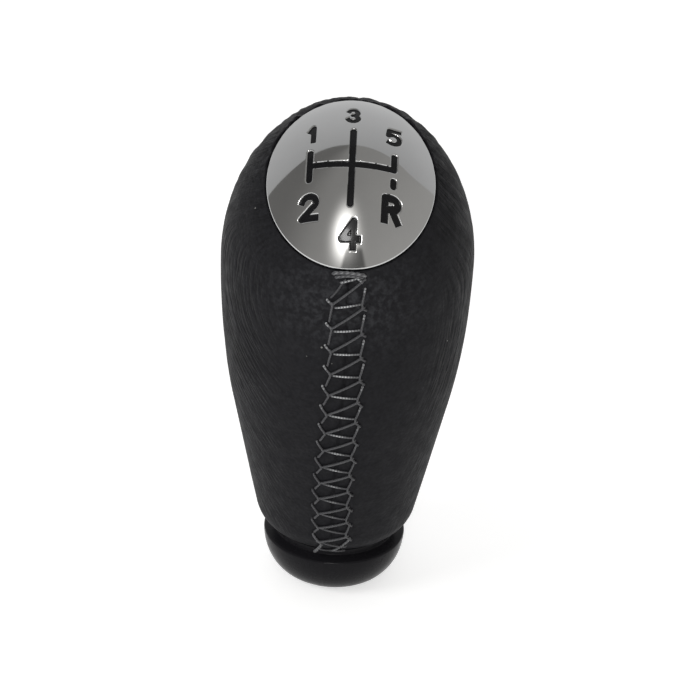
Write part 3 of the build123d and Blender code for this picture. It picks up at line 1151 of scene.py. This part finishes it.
def leather():
    made = new_material("black_leather")
    patchy = made.times(made.patches(*line_patches), made.stored("tension"))
    drawn_out = made.noise(*line_noise, made.stored("lines", "Vector"))
    lines = made.times(made.spread(drawn_out, *line_spread), patchy)
    tone = made.mixed(made.noise(leather_tone_size), *leather_tones)
    mottled = made.mixed(made.patches(*pore_patches), tone, leather_pores)
    # painted shade: darker in the fine lines and in the folds' valleys, where shade would fall
    painted_crease_shade = made.times(made.highest(lines, made.stored("valley_shade")), crease_shade_share)
    crease_shaded = made.mixed(painted_crease_shade, mottled, leather_painted_crease_shade)
    # painted highlights in flecks, where the leather would catch the light
    painted_glint_share = made.times(made.patches(*painted_glint_patches), made.stored("glint"))
    glint_painted = made.mixed(painted_glint_share, crease_shaded, leather_painted_glint)
    parts = made.add("ShaderNodeSeparateXYZ", {0: made.place}).outputs
    upper = made.spread(parts["Z"], lint_heights[0] * MM, lint_heights[1] * MM, 0, 1)
    front = made.spread(parts["Y"], lint_front[0] * MM, lint_front[1] * MM, 0, 1)
    lint = made.times(made.spread(made.cells(lint_size, "F1"), *lint_spread), made.times(upper, front))
    made.shade(base_color=made.mixed(lint, glint_painted, lint_colour), specular_ior_level=leather_specular)
    made.shade(roughness=made.patches(*leather_roughness))
    drawn = made.bump(lines, *line_bump)
    pebbles = made.bump(made.cells(pebble_size, "SMOOTH_F1"), *pebble_bump, drawn)
    made.shade(normal=made.bump(made.noise(*leather_grain), *leather_grain_bump, pebbles))
    return made.owner


def grey_thread():
    made = new_material("grey_thread")
    ridge = made.stored("ridge")
    dull = made.mixed(ridge, thread_groove, made.mixed(made.noise(thread_tone_size), *thread_worn))
    bright = made.mixed(ridge, *thread_painted_highlights)
    # painted highlights where the plies and the bends at the needle holes would catch the light
    made.shade(base_color=made.mixed(made.stored("painted_shine"), dull, bright), sheen_weight=thread_sheen)
    made.shade(roughness=made.patches(*thread_roughness))
    made.shade(normal=made.bump(made.noise(*fibre_noise), *fibre_bump))
    return made.owner


def chrome():
    made = new_material("chrome_with_black_marks")
    distance = made.stored("mark_distance")
    paint = made.spread(distance, *paint_edge, 1, 0)
    smudge = made.noise(*smudge_noise)
    plating = made.mixed(smudge, *plating_tones)
    made.shade(base_color=made.mixed(paint, plating, mark_paint), specular_ior_level=paint_specular)
    made.shade(metallic=made.spread(distance, *paint_edge, 0, 1))
    polish = made.spread(smudge, *polish_spread)
    rough = made.add("ShaderNodeMix", {0: paint, 2: polish, 3: paint_roughness}, data_type="FLOAT")
    made.shade(roughness=rough.outputs[0])
    return made.owner


def plastic(name, tones, tone_size, specular, roughness, grain, bump):
    made = new_material(name)
    made.shade(base_color=made.mixed(made.noise(tone_size), *tones), specular_ior_level=specular)
    made.shade(roughness=made.patches(*roughness))
    made.shade(normal=made.bump(made.noise(*grain), *bump))
    return made.owner


def dress_node(node, material):
    """Gives a carried-over CAD node a material of its own."""
    node.data.materials.clear()
    node.data.materials.append(material)


# Studio and camera, in metres

floor_half = 60.0
floor_colour = (0.8, 0.8, 0.8, 1)
floor_roughness = 0.9
floor_glow = 0.55
white = (1, 1, 1, 1)
world_level_above = 0.54
world_level_behind = 0.79
wall_radius = 1.4
wall_foot_level = 0.45
wall_top_level = 0.34
wall_flare_left = 0.08  # how much further back the wall reaches at its foot
wall_flare_right = 0.22
wall_lean = 0.2  # how much lighter the wall is at the right than in the middle
wall_left_shade = 0.4
wall_left_turns = (-0.4, -1.3)  # the left shade comes in between these turns
wall_flare_lift = radians(45)
wall_rows = 91
wall_columns = 181
wall_colour = (1.0, 0.98, 0.945, 1)
glow_level = 4.5
glow_lift = radians(23.5)
glow_turn = radians(-3.2)
glow_half_height = radians(9.0)
glow_half_width = radians(6.5)
patch_turn = radians(5.5)
patch_half_turn = radians(7.0)
patch_lift = radians(16.0)
patch_flare = 0.7  # share by which the patch widens at its foot
patch_side = (0.85, 1.15)  # shares of its size between which its edge fades
patch_top = (0.85, 1.1)
patch_shade = 0.7
view_lift = radians(28.0)
view_roll = radians(2.85)
view_distance = 0.42
view_target = Vector((0, 0, 0.052))
view_shift_right = 0.00126
view_shift_down = 0.00254
lens = 111.75
sensor = 36.0
view_near = 0.01
view_far = 50

# Lamps: place, aim, size and watts
flash_lamp = ((-0.02, -0.46, 0.24), (0, 0, 0.07), 0.08, 0.33)
fill_lamp = ((-0.5, -0.25, 0.4), (0, 0, 0.05), 0.3, 1.4)


def pale_floor():
    """White for the camera and in reflections, with the object's soft shadow kept."""
    made = new_material("pale_floor")
    made.shade(base_color=floor_colour, roughness=floor_roughness)
    path = made.add("ShaderNodeLightPath").outputs
    seen = made.highest(path["Is Camera Ray"], path["Is Glossy Ray"])
    seen = made.highest(seen, path["Is Transmission Ray"])
    made.shade(emission_color=white, emission_strength=made.times(seen, floor_glow))
    corners = np.array([(-1, -1, 0), (1, -1, 0), (1, 1, 0), (-1, 1, 0)]) * floor_half
    new_object("floor", corners, [(0, 1, 2, 3)], made.owner)


def wall_level(turn, lift):
    """Brightness of the wall, with the glow of a flash and a dark patch under it."""
    level = wall_foot_level + (wall_top_level - wall_foot_level) * np.sin(lift)
    level = level * (1 + wall_lean * np.sin(turn) * np.cos(lift))
    level = level * (1 - wall_left_shade * smoothstep(*wall_left_turns, turn))
    away = ((turn - glow_turn) / glow_half_width) ** 2 + ((lift - glow_lift) / glow_half_height) ** 2
    half_turn = patch_half_turn * (1 + patch_flare - patch_flare * lift / patch_lift)
    patch = 1 - smoothstep(*patch_side, np.abs(turn - patch_turn) / half_turn)
    patch = patch * (1 - smoothstep(*patch_top, lift / patch_lift))
    return (level + glow_level * np.exp(-away / 2)) * (1 - patch_shade * patch)


def grey_wall():
    """A glowing quarter dome of grey in front of the object, which the camera doesn't see."""
    made = new_material("grey_wall")
    made.shade(base_color=(0, 0, 0, 1), roughness=1.0)
    made.shade(emission_color=wall_colour, emission_strength=made.stored("level"))
    lifts = np.linspace(0, pi / 2, wall_rows)
    turns = np.linspace(-pi / 2, pi / 2, wall_columns)
    lift, turn = np.meshgrid(lifts, turns, indexing="ij")
    wall_flare = np.where(turn < 0, wall_flare_left, wall_flare_right)
    turn = turn * (1 + wall_flare * smoothstep(wall_flare_lift, 0, lift))
    points = (outward_normal(turn, lift) * wall_radius).reshape(-1, 3)
    wall = new_object("grey_wall", points, grid_faces(*lift.shape, False, False), made.owner)
    store(wall, "level", wall_level(turn, lift))
    wall.visible_camera = False


def white_world():
    """White all round, a little brighter behind the object than above it."""
    made = Nodes(bpy.data.worlds.new("white_studio"), "Generated")
    parts = made.add("ShaderNodeSeparateXYZ", {0: made.place}).outputs
    background = made.tree.nodes["Background"].inputs
    background["Color"].default_value = white
    made.put(background["Strength"], made.spread(parts["Y"], 0, 1, world_level_above, world_level_behind))
    bpy.context.scene.world = made.owner


def lamp(name, place, aim, size, watts):
    light = bpy.data.lights.new(name, "AREA")
    light.shape = "DISK"
    light.size = size
    light.energy = watts
    held = bpy.data.objects.new(name, light)
    held.location = place
    held.rotation_euler = (Vector(aim) - Vector(place)).to_track_quat("-Z", "Y").to_euler()
    held.visible_camera = False
    bpy.context.scene.collection.objects.link(held)
    return held


def photo_camera():
    forward = Vector((0, cos(view_lift), -sin(view_lift)))
    level_up = Vector((0, sin(view_lift), cos(view_lift)))
    level_right = Vector((1, 0, 0))
    right = level_right * cos(view_roll) + level_up * sin(view_roll)
    up = level_up * cos(view_roll) - level_right * sin(view_roll)
    stand = view_target - forward * view_distance
    aim = view_target + right * view_shift_right - up * view_shift_down
    back = (stand - aim).normalized()
    right = up.cross(back).normalized()
    up = back.cross(right)
    data = bpy.data.cameras.new("photo_camera")
    data.lens = lens
    data.sensor_width = sensor
    data.clip_start = view_near
    data.clip_end = view_far
    camera = bpy.data.objects.new("photo_camera", data)
    turned = Matrix((right, up, back)).transposed().to_4x4()
    camera.matrix_world = Matrix.Translation(stand) @ turned
    bpy.context.scene.collection.objects.link(camera)
    bpy.context.scene.camera = camera


def main():
    thread = grey_thread()
    leather_sleeve(leather())
    shift_pattern_cap(chrome())
    edge_stitches(-1, thread)
    edge_stitches(1, thread)
    cross_lacing(thread)
    base_collar(plastic("gloss_black_plastic", gloss_tones, *gloss_look))
    core = plastic("moulded_core_plastic", core_tones, *core_look)
    dress_node(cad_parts["core_half_left"], core)
    dress_node(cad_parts["core_half_right"], core)
    dress_node(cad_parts["lever_bush"], plastic("grey_nylon", nylon_tones, *nylon_look))
    pale_floor()
    grey_wall()
    white_world()
    lamp("flash", *flash_lamp)
    fill = lamp("left_fill", *fill_lamp)
    fill.visible_glossy = False
    photo_camera()
    bpy.context.scene.view_settings.view_transform = "Standard"


main()
